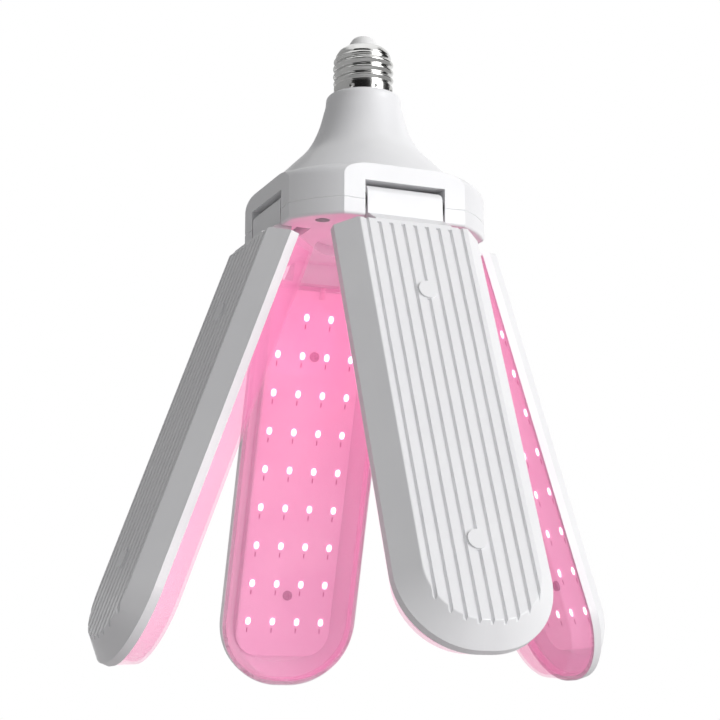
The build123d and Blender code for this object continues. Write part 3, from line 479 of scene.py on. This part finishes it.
@dataclass
class ScrewCap:
    """The rolled nickel shell: plain skirt with crimps, right-handed thread and rounded shoulder."""

    height_mm: float = 22.7
    widest_mm: float = 13.0
    skirt_height: float = 4.2 * MM
    shoulder_start: float = 17.6 * MM
    thread_depth: float = 1.05 * MM
    pitch: float = 3.629 * MM
    thread_start: float = 0.35 * MM
    runout: float = 2.0 * MM
    wall: float = 0.38 * MM
    crimps: int = 8
    crimp_z: float = 1.5 * MM
    crimp_depth: float = 0.35 * MM
    crimp_edge: float = 0.82
    crimp_reach: float = 1.0 * MM
    seam_gap: float = 0.001 * MM
    around: int = 288
    along: int = 132
    heights: CurvePoints = (
        (0, 0), (0.18, 4.0), (0.21, 4.25), (0.77, 17.6), (0.83, 19.3), (0.89, 20.7), (0.945, 21.8), (1, 22.7),
    )
    radii: CurvePoints = (
        (0, 12.9), (0.175, 12.9), (0.215, 12.1), (0.77, 12.1),
        (0.83, 11.5), (0.89, 10.5), (0.945, 8.95), (1, 6.9),
    )

    def build_tree(self, material: bpy.types.Material) -> bpy.types.NodeTree:
        """Builds the tree that bends a grid into the shell.

        Args:
            material: the nickel finish.

        Returns:
            The tree.
        """
        sizes = {
            "Pitch": self.pitch, "Thread Depth": self.thread_depth, "Thread Start": self.thread_start,
            "Skirt Height": self.skirt_height, "Shoulder Start": self.shoulder_start, "Runout": self.runout,
            "Crimp Height": self.crimp_z, "Crimp Depth": self.crimp_depth, "Crimps": float(self.crimps),
        }
        inputs = {name: ("NodeSocketFloat", value) for name, value in sizes.items()}
        tree = new_group("rolled_cap", "GeometryNodeTree", inputs, {"Geometry": "NodeSocketGeometry"})
        source = add_node(tree, "NodeGroupInput").outputs
        grid = add_node(tree, "GeometryNodeMeshGrid")
        counts = {"Size X": 1.0, "Size Y": 1.0, "Vertices X": self.around + 1, "Vertices Y": self.along}
        for name, value in counts.items():
            feed(tree, grid.inputs[name], value)
        spot = add_node(tree, "ShaderNodeSeparateXYZ")
        feed(tree, spot.inputs[0], add_node(tree, "GeometryNodeInputPosition").outputs[0])
        turn = maths(tree, "MULTIPLY", maths(tree, "ADD", spot.outputs["X"], 0.5), math.tau)
        climb = maths(tree, "ADD", spot.outputs["Y"], 0.5)
        z = self._curve(tree, climb, self.heights, self.height_mm)
        r = self._curve(tree, climb, self.radii, self.widest_mm)
        phase = maths(tree, "DIVIDE", maths(tree, "SUBTRACT", z, source["Thread Start"]), source["Pitch"])
        wave = maths(tree, "COSINE", maths(tree, "SUBTRACT", maths(tree, "MULTIPLY", phase, math.tau), turn))
        ridge = maths(tree, "MULTIPLY_ADD", wave, 0.5, 0.5)
        first_turn = maths(tree, "ADD", source["Skirt Height"], source["Runout"])
        last_turn = maths(tree, "SUBTRACT", source["Shoulder Start"], source["Runout"])
        fade_in = remap(tree, z, source["Skirt Height"], first_turn, 0.0, 1.0)
        fade_out = remap(tree, z, last_turn, source["Shoulder Start"], 1.0, 0.0)
        ridge = maths(tree, "MULTIPLY", maths(tree, "MULTIPLY", ridge, fade_in), fade_out)
        r = maths(tree, "MULTIPLY_ADD", ridge, source["Thread Depth"], r)
        round_cap = maths(tree, "COSINE", maths(tree, "MULTIPLY", turn, source["Crimps"]))
        near = remap(tree, round_cap, self.crimp_edge, 1.0, 0.0, 1.0)
        rise = maths(tree, "ABSOLUTE", maths(tree, "SUBTRACT", z, source["Crimp Height"]))
        level = remap(tree, rise, 0.0, self.crimp_reach, 1.0, 0.0)
        dent = maths(tree, "MULTIPLY", maths(tree, "MULTIPLY", near, level), source["Crimp Depth"])
        r = maths(tree, "SUBTRACT", r, dent)
        point = add_node(tree, "ShaderNodeCombineXYZ")
        feed(tree, point.inputs["X"], maths(tree, "MULTIPLY", r, maths(tree, "COSINE", turn)))
        feed(tree, point.inputs["Y"], maths(tree, "MULTIPLY", r, maths(tree, "SINE", turn)))
        feed(tree, point.inputs["Z"], z)
        place = add_node(tree, "GeometryNodeSetPosition")
        feed(tree, place.inputs["Geometry"], grid.outputs["Mesh"])
        feed(tree, place.inputs["Position"], point.outputs[0])
        seam = add_node(tree, "GeometryNodeMergeByDistance")
        feed(tree, seam.inputs["Geometry"], place.outputs[0])
        feed(tree, seam.inputs["Distance"], self.seam_gap)
        return end_tree(tree, seam.outputs[0], material)

    def _curve(
        self, tree: bpy.types.NodeTree, climb: bpy.types.NodeSocket, points: CurvePoints, top: float
    ) -> bpy.types.NodeSocket:
        """Adds a curve from the share of the height climbed to a size in millimetres.

        Args:
            tree: the tree.
            climb: share from the lower edge to the mouth.
            points: the curve's points.
            top: the size at the curve's full height.

        Returns:
            The size, in metres.
        """
        node = add_node(tree, "ShaderNodeFloatCurve")
        curve = node.mapping.curves[0]
        while len(curve.points) < len(points):
            curve.points.new(0.5, 0.5)
        for point, (share, size) in zip(curve.points, points):
            point.location = (share, size / top)
            point.handle_type = "AUTO_CLAMPED"
        node.mapping.update()
        feed(tree, node.inputs["Value"], climb)
        return maths(tree, "MULTIPLY", node.outputs[0], top * MM)

    def build(self, palette: Palette) -> bpy.types.Object:
        """Builds the shell with its sheet thickness.

        Args:
            palette: the finishes.

        Returns:
            The piece.
        """
        piece = run_tree(self.build_tree(palette.get(NICKEL)), {}, "rolled_screw_cap")
        shape = bmesh.new()
        shape.from_mesh(piece.data)
        bmesh.ops.recalc_face_normals(shape, faces=shape.faces[:])
        shape.to_mesh(piece.data)
        shape.free()
        sheet = piece.modifiers.new("sheet", "SOLIDIFY")
        sheet.thickness = self.wall
        sheet.offset = -1.0
        piece = baked(piece, "rolled_screw_cap")
        shade_smooth(piece, SMOOTH_ANGLE)
        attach(piece, "head")
        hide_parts("screw_shell")
        log.info("rolled_screw_cap: %d faces", len(piece.data.polygons))
        return piece


def end_tree(
    tree: bpy.types.NodeTree, geometry: bpy.types.NodeSocket, material: bpy.types.Material
) -> bpy.types.NodeTree:
    """Ends a tree in Realize Instances and Set Material.

    Args:
        tree: the tree.
        geometry: its last geometry.
        material: the material to set.

    Returns:
        The tree.
    """
    real = add_node(tree, "GeometryNodeRealizeInstances")
    feed(tree, real.inputs[0], geometry)
    paint = add_node(tree, "GeometryNodeSetMaterial")
    feed(tree, paint.inputs["Geometry"], real.outputs[0])
    feed(tree, paint.inputs["Material"], material)
    output = add_node(tree, "NodeGroupOutput")
    feed(tree, output.inputs[0], paint.outputs[0])
    return tree


class LedPart(Enum):
    """What is repeated at every LED: the pieces' name and their finish."""

    BODY = ("led_bodies", LED_BODY)
    WINDOW = ("led_windows", LED_WINDOW)
    MARK = ("solder_marks", SOLDER)


@dataclass
class LightPanel:
    """One folding panel: its LED packages, their glowing windows and the solder marks beside them."""

    side: Side
    joint: dict
    rows: int = 9
    columns: int = 4
    row_pitch: float = 17.43 * MM
    column_pitch: float = 11.77 * MM
    first_row: float = 30.6 * MM
    board_front: float = 5.0 * MM
    body_size: tuple[float, float, float] = (2.9 * MM, 3.9 * MM, 0.5 * MM)
    window_size: tuple[float, float, float] = (1.3 * MM, 1.75 * MM, 0.3 * MM)
    mark_size: tuple[float, float, float] = (0.6 * MM, 2.2 * MM, 0.08 * MM)
    mark_drop: float = 4.2 * MM
    window_sink: float = 0.05 * MM
    edge_share: float = 0.3

    def placement(self) -> Matrix:
        """Returns the panel's frame at rest: X across it, Y up along it, Z out of its ribbed back."""
        _, azimuth, lean = self.side.value
        outward = Vector((math.cos(math.radians(azimuth)), math.sin(math.radians(azimuth)), 0.0))
        up = Vector((0.0, 0.0, 1.0))
        back = outward * math.cos(math.radians(lean)) + up * math.sin(math.radians(lean))
        across = up.cross(outward)
        along = back.cross(across)
        turn = Matrix((across, along, back)).transposed().to_4x4()
        return Matrix.Translation(Vector(self.joint["pos_m"])) @ turn

    def stencil(self, part: LedPart) -> bpy.types.Object:
        """Builds the small mesh that is repeated, with its seat on the board at Z 0 and its face at minus Z.

        Args:
            part: which of the three.

        Returns:
            A helper object.
        """
        shape = bmesh.new()
        if part is LedPart.BODY:
            self._rounded_box(shape, self.body_size)
        elif part is LedPart.MARK:
            self._rounded_box(shape, self.mark_size)
            bmesh.ops.translate(shape, verts=shape.verts[:], vec=(0.0, -self.mark_drop, 0.0))
        else:
            bmesh.ops.create_uvsphere(shape, u_segments=20, v_segments=10, radius=1.0)
            flat = [vert for vert in shape.verts if vert.co.z > 0.01]
            bmesh.ops.delete(shape, geom=flat, context="VERTS")
            rim = [edge for edge in shape.edges if edge.is_boundary]
            bmesh.ops.contextual_create(shape, geom=rim)
            bmesh.ops.scale(shape, verts=shape.verts[:], vec=self.window_size)
            seat = self.window_sink - self.body_size[2]
            bmesh.ops.translate(shape, verts=shape.verts[:], vec=(0.0, 0.0, seat))
        bmesh.ops.recalc_face_normals(shape, faces=shape.faces[:])
        mesh = bpy.data.meshes.new(f"{part.value[0]}_stencil")
        shape.to_mesh(mesh)
        shape.free()
        if part is not LedPart.MARK:
            mesh.shade_smooth()
        helper = bpy.data.objects.new(mesh.name, mesh)
        bpy.context.scene.collection.objects.link(helper)
        return helper

    def _rounded_box(self, shape: bmesh.types.BMesh, size: tuple[float, float, float]) -> None:
        """Adds a box with softened edges that stands on Z 0 and reaches down to minus its height."""
        bmesh.ops.create_cube(shape, size=1.0)
        bmesh.ops.scale(shape, verts=shape.verts[:], vec=size)
        bmesh.ops.translate(shape, verts=shape.verts[:], vec=(0.0, 0.0, -size[2] / 2))
        bmesh.ops.bevel(
            shape,
            geom=shape.edges[:],
            offset=min(size) * self.edge_share,
            segments=2,
            profile=0.5,
            affect="EDGES",
        )

    def build_tree(self, part: LedPart, palette: Palette) -> bpy.types.NodeTree:
        """Builds the tree that sets one small mesh at every LED of a board.

        Args:
            part: what is repeated.
            palette: the finishes.

        Returns:
            The tree.
        """
        name, finish = part.value
        inputs = {
            "Shape": ("NodeSocketObject", None),
            "Row Pitch": ("NodeSocketFloat", self.row_pitch),
            "Column Pitch": ("NodeSocketFloat", self.column_pitch),
            "First Row": ("NodeSocketFloat", self.first_row),
            "Board Front": ("NodeSocketFloat", self.board_front),
            "Place": ("NodeSocketVector", None),
            "Turn": ("NodeSocketVector", None),
        }
        tree = new_group(f"{name}_field", "GeometryNodeTree", inputs, {"Geometry": "NodeSocketGeometry"})
        source = add_node(tree, "NodeGroupInput").outputs
        grid = add_node(tree, "GeometryNodeMeshGrid")
        length = maths(tree, "MULTIPLY", source["Row Pitch"], float(self.rows - 1))
        width = maths(tree, "MULTIPLY", source["Column Pitch"], float(self.columns - 1))
        feed(tree, grid.inputs["Size X"], width)
        feed(tree, grid.inputs["Size Y"], length)
        feed(tree, grid.inputs["Vertices X"], self.columns)
        feed(tree, grid.inputs["Vertices Y"], self.rows)
        spot = add_node(tree, "ShaderNodeSeparateXYZ")
        feed(tree, spot.inputs[0], add_node(tree, "GeometryNodeInputPosition").outputs[0])
        half_row = maths(tree, "MULTIPLY", source["Row Pitch"], (self.rows - 2) / 2)
        in_first = maths(tree, "GREATER_THAN", spot.outputs["Y"], half_row)
        from_middle = maths(tree, "ABSOLUTE", spot.outputs["X"])
        outer = maths(tree, "GREATER_THAN", from_middle, source["Column Pitch"])
        spare = add_node(tree, "GeometryNodeDeleteGeometry", domain="POINT")
        feed(tree, spare.inputs["Geometry"], grid.outputs["Mesh"])
        feed(tree, spare.inputs["Selection"], maths(tree, "MULTIPLY", in_first, outer))
        drop = add_node(tree, "ShaderNodeCombineXYZ")
        middle = maths(tree, "MULTIPLY_ADD", length, 0.5, source["First Row"])
        feed(tree, drop.inputs["Y"], maths(tree, "MULTIPLY", middle, -1.0))
        feed(tree, drop.inputs["Z"], source["Board Front"])
        shift = add_node(tree, "GeometryNodeSetPosition")
        feed(tree, shift.inputs["Geometry"], spare.outputs[0])
        feed(tree, shift.inputs["Offset"], drop.outputs[0])
        shape = add_node(tree, "GeometryNodeObjectInfo")
        feed(tree, shape.inputs["Object"], source["Shape"])
        copies = add_node(tree, "GeometryNodeInstanceOnPoints")
        feed(tree, copies.inputs["Points"], shift.outputs[0])
        feed(tree, copies.inputs["Instance"], shape.outputs["Geometry"])
        move = add_node(tree, "GeometryNodeTransform")
        feed(tree, move.inputs["Geometry"], copies.outputs[0])
        feed(tree, move.inputs["Translation"], source["Place"])
        feed(tree, move.inputs["Rotation"], source["Turn"])
        return end_tree(tree, move.outputs[0], palette.get(finish))

    def build(
        self, trees: dict[LedPart, bpy.types.NodeTree], shapes: dict[LedPart, bpy.types.Object]
    ) -> None:
        """Sets the three repeated pieces on this panel's board.

        Args:
            trees: the tree of each repeated piece.
            shapes: the helper mesh of each.
        """
        place = self.placement()
        for part in LedPart:
            name = f"{part.value[0]}_{self.side.label}"
            turn = Vector(place.to_euler())
            values = {"Shape": shapes[part], "Place": place.to_translation(), "Turn": turn}
            piece = run_tree(trees[part], values, name)
            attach(piece, self.side.body)
            if part is LedPart.BODY:
                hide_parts(f"lamps_{self.side.label}")
            log.info("%s: %d faces", name, len(piece.data.polygons))


def dress_nodes(frame: dict, palette: Palette) -> None:
    """Gives every CAD node the material of its slot.

    Args:
        frame: the loaded frame.
        palette: the finishes.
    """
    for row in frame["record"]["subparts"]:
        piece = frame["nodes"][row["node"]]
        material = palette.get(SLOT_FINISHES[row["material_slot"]])
        piece.data.materials.clear()
        piece.data.materials.append(material)
        log.info("%s: %s", row["node"], material.name)


@dataclass
class Studio:
    """Floor, lights, world and the camera at the photograph's place."""

    floor_drop: float = 0.2
    floor_size: float = 6.0
    camera_place: Vector = Vector((-0.29447, -0.69646, -0.27408))
    camera_right: Vector = Vector((0.9218, -0.3877, 0.0))
    camera_up: Vector = Vector((-0.0790, -0.1879, 0.9790))
    camera_look: Vector = Vector((0.3796, 0.9024, 0.2038))
    lens: float = 91.378
    ambient: float = 0.26
    key: float = 2.45
    top: float = 0.2
    glow: float = 0.035
    glow_z: float = -0.115
    glow_size: float = 0.02
    glow_colour: Colour = (1.0, 0.22, 0.48)
    key_from: Vector = Vector((0.66, -0.95, 0.22))
    key_angle: float = 40.0
    top_from: Vector = Vector((0.2, -0.2, 1.0))
    top_angle: float = 70.0
    floor_tone: float = 0.86
    floor_roughness: float = 0.8
    flag_distance: float = 0.6
    flag_foot: float = -0.05
    flag_head: float = 0.9
    flag_roughness: float = 0.9
    flags: tuple[tuple[str, float, float, float], ...] = (
        ("front", 241.0, 0.48, 0.01),
        ("left", 143.0, 1.0, 0.35),
        ("right", 350.0, 0.22, 0.06),
    )

    def build_camera(self) -> None:
        """Places the camera."""
        camera = bpy.data.objects.new("camera", bpy.data.cameras.new("camera"))
        camera.data.lens = self.lens
        camera.data.sensor_width = 36.0
        camera.data.clip_start = 0.01
        turn = Matrix((self.camera_right, self.camera_up, -self.camera_look)).transposed().to_4x4()
        camera.matrix_world = Matrix.Translation(self.camera_place) @ turn
        bpy.context.scene.collection.objects.link(camera)
        bpy.context.scene.camera = camera

    def build_world(self) -> None:
        """Lights the scene evenly, and shows white to the camera and to reflections."""
        world = bpy.data.worlds.new("studio")
        bpy.context.scene.world = world
        world.use_nodes = True
        tree = world.node_tree
        tree.nodes.clear()
        path = add_node(tree, "ShaderNodeLightPath")
        seen = maths(tree, "MAXIMUM", path.outputs["Is Camera Ray"], path.outputs["Is Transmission Ray"])
        seen = maths(tree, "MAXIMUM", seen, path.outputs["Is Glossy Ray"])
        strength = add_node(tree, "ShaderNodeMapRange")
        feed(tree, strength.inputs["Value"], seen)
        feed(tree, strength.inputs["To Min"], self.ambient)
        feed(tree, strength.inputs["To Max"], 1.0)
        backdrop = add_node(tree, "ShaderNodeBackground")
        feed(tree, backdrop.inputs["Strength"], strength.outputs[0])
        feed(tree, backdrop.inputs["Color"], (1.0, 1.0, 1.0, 1.0))
        output = add_node(tree, "ShaderNodeOutputWorld")
        feed(tree, output.inputs["Surface"], backdrop.outputs[0])

    def build_light(self, name: str, strength: float, direction: Vector, angle: float) -> None:
        """Adds a broad, distant light.

        Args:
            name: its name.
            strength: its strength.
            direction: from the object towards the light.
            angle: how wide it is, in degrees.
        """
        light = bpy.data.lights.new(name, "SUN")
        light.energy = strength
        light.angle = math.radians(angle)
        lamp = bpy.data.objects.new(name, light)
        lamp.rotation_euler = direction.to_track_quat("Z", "Y").to_euler()
        bpy.context.scene.collection.objects.link(lamp)

    def build_glow(self) -> None:
        """Adds the soft pink light that the lit panels throw on the hub's underside."""
        light = bpy.data.lights.new("panel_glow", "POINT")
        light.color = self.glow_colour
        light.energy = self.glow
        light.shadow_soft_size = self.glow_size
        lamp = bpy.data.objects.new("panel_glow", light)
        lamp.location = (0.0, 0.0, self.glow_z)
        bpy.context.scene.collection.objects.link(lamp)

    def build_floor(self, lowest: float) -> None:
        """Lays a pale floor below the hanging bulb.

        Args:
            lowest: the bulb's lowest point.
        """
        half = self.floor_size / 2
        z = lowest - self.floor_drop
        mesh = bpy.data.meshes.new("floor")
        corners = [(-half, -half, z), (half, -half, z), (half, half, z), (-half, half, z)]
        mesh.from_pydata(corners, [], [(0, 1, 2, 3)])
        floor = bpy.data.objects.new("floor", mesh)
        bpy.context.scene.collection.objects.link(floor)
        material = bpy.data.materials.new("pale_floor")
        material.use_nodes = True
        self._set_plain(material, self.floor_tone, self.floor_roughness)
        mesh.materials.append(material)
        floor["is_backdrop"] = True

    def _set_plain(self, material: bpy.types.Material, tone: float, roughness: float) -> None:
        """Sets a grey tone and a roughness on a material's own shader."""
        shader = material.node_tree.nodes["Principled BSDF"]
        shader.inputs["Base Color"].default_value = (tone, tone, tone, 1.0)
        shader.inputs["Roughness"].default_value = roughness

    def build_flags(self) -> None:
        """Stands dark and grey cards round the bulb that only reflections show."""
        for name, azimuth, width, tone in self.flags:
            material = bpy.data.materials.new(f"flag_{name}")
            material.use_nodes = True
            self._set_plain(material, tone, self.flag_roughness)
            outward = Vector((math.cos(math.radians(azimuth)), math.sin(math.radians(azimuth)), 0.0))
            across = Vector((-outward.y, outward.x, 0.0)) * width
            foot = outward * self.flag_distance + Vector((0.0, 0.0, self.flag_foot))
            head = outward * self.flag_distance + Vector((0.0, 0.0, self.flag_head))
            corners = [foot - across, foot + across, head + across, head - across]
            mesh = bpy.data.meshes.new(f"flag_{name}")
            mesh.from_pydata(corners, [], [(0, 1, 2, 3)])
            mesh.materials.append(material)
            flag = bpy.data.objects.new(mesh.name, mesh)
            flag.visible_camera = False
            flag.visible_diffuse = False
            flag.visible_shadow = False
            flag.visible_transmission = False
            bpy.context.scene.collection.objects.link(flag)
            flag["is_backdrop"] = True

    def build(self, lowest: float) -> None:
        """Builds the whole studio.

        Args:
            lowest: the bulb's lowest point.
        """
        bpy.context.scene.view_settings.view_transform = "Standard"
        self.build_camera()
        self.build_world()
        self.build_light("key", self.key, self.key_from, self.key_angle)
        self.build_light("top", self.top, self.top_from, self.top_angle)
        self.build_glow()
        self.build_floor(lowest)
        self.build_flags()
        log.info("studio: camera, world, three lights, floor and flags")


def box_lines(box: tuple) -> list[list[float]]:
    """Returns a box's two corners as plain lists."""
    return [[float(value) for value in corner] for corner in box]


def main() -> None:
    """Builds the looks in order, and lays the floor below the CAD model's lowest point."""
    logging.basicConfig(level=logging.INFO, format="%(name)s %(message)s")
    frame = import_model()
    cad_box = box_lines(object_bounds())
    palette = Palette()
    dress_nodes(frame, palette)
    ScrewCap().build(palette)
    joints = {joint["child"]: joint for joint in frame["joints"]}
    panels = [LightPanel(side, joints[side.body]) for side in Side]
    trees = {part: panels[0].build_tree(part, palette) for part in LedPart}
    shapes = {part: panels[0].stencil(part) for part in LedPart}
    for panel in panels:
        panel.build(trees, shapes)
    for helper in shapes.values():
        bpy.data.objects.remove(helper)
    Studio().build(cad_box[0][2])


if __name__ == "__main__":
    main()
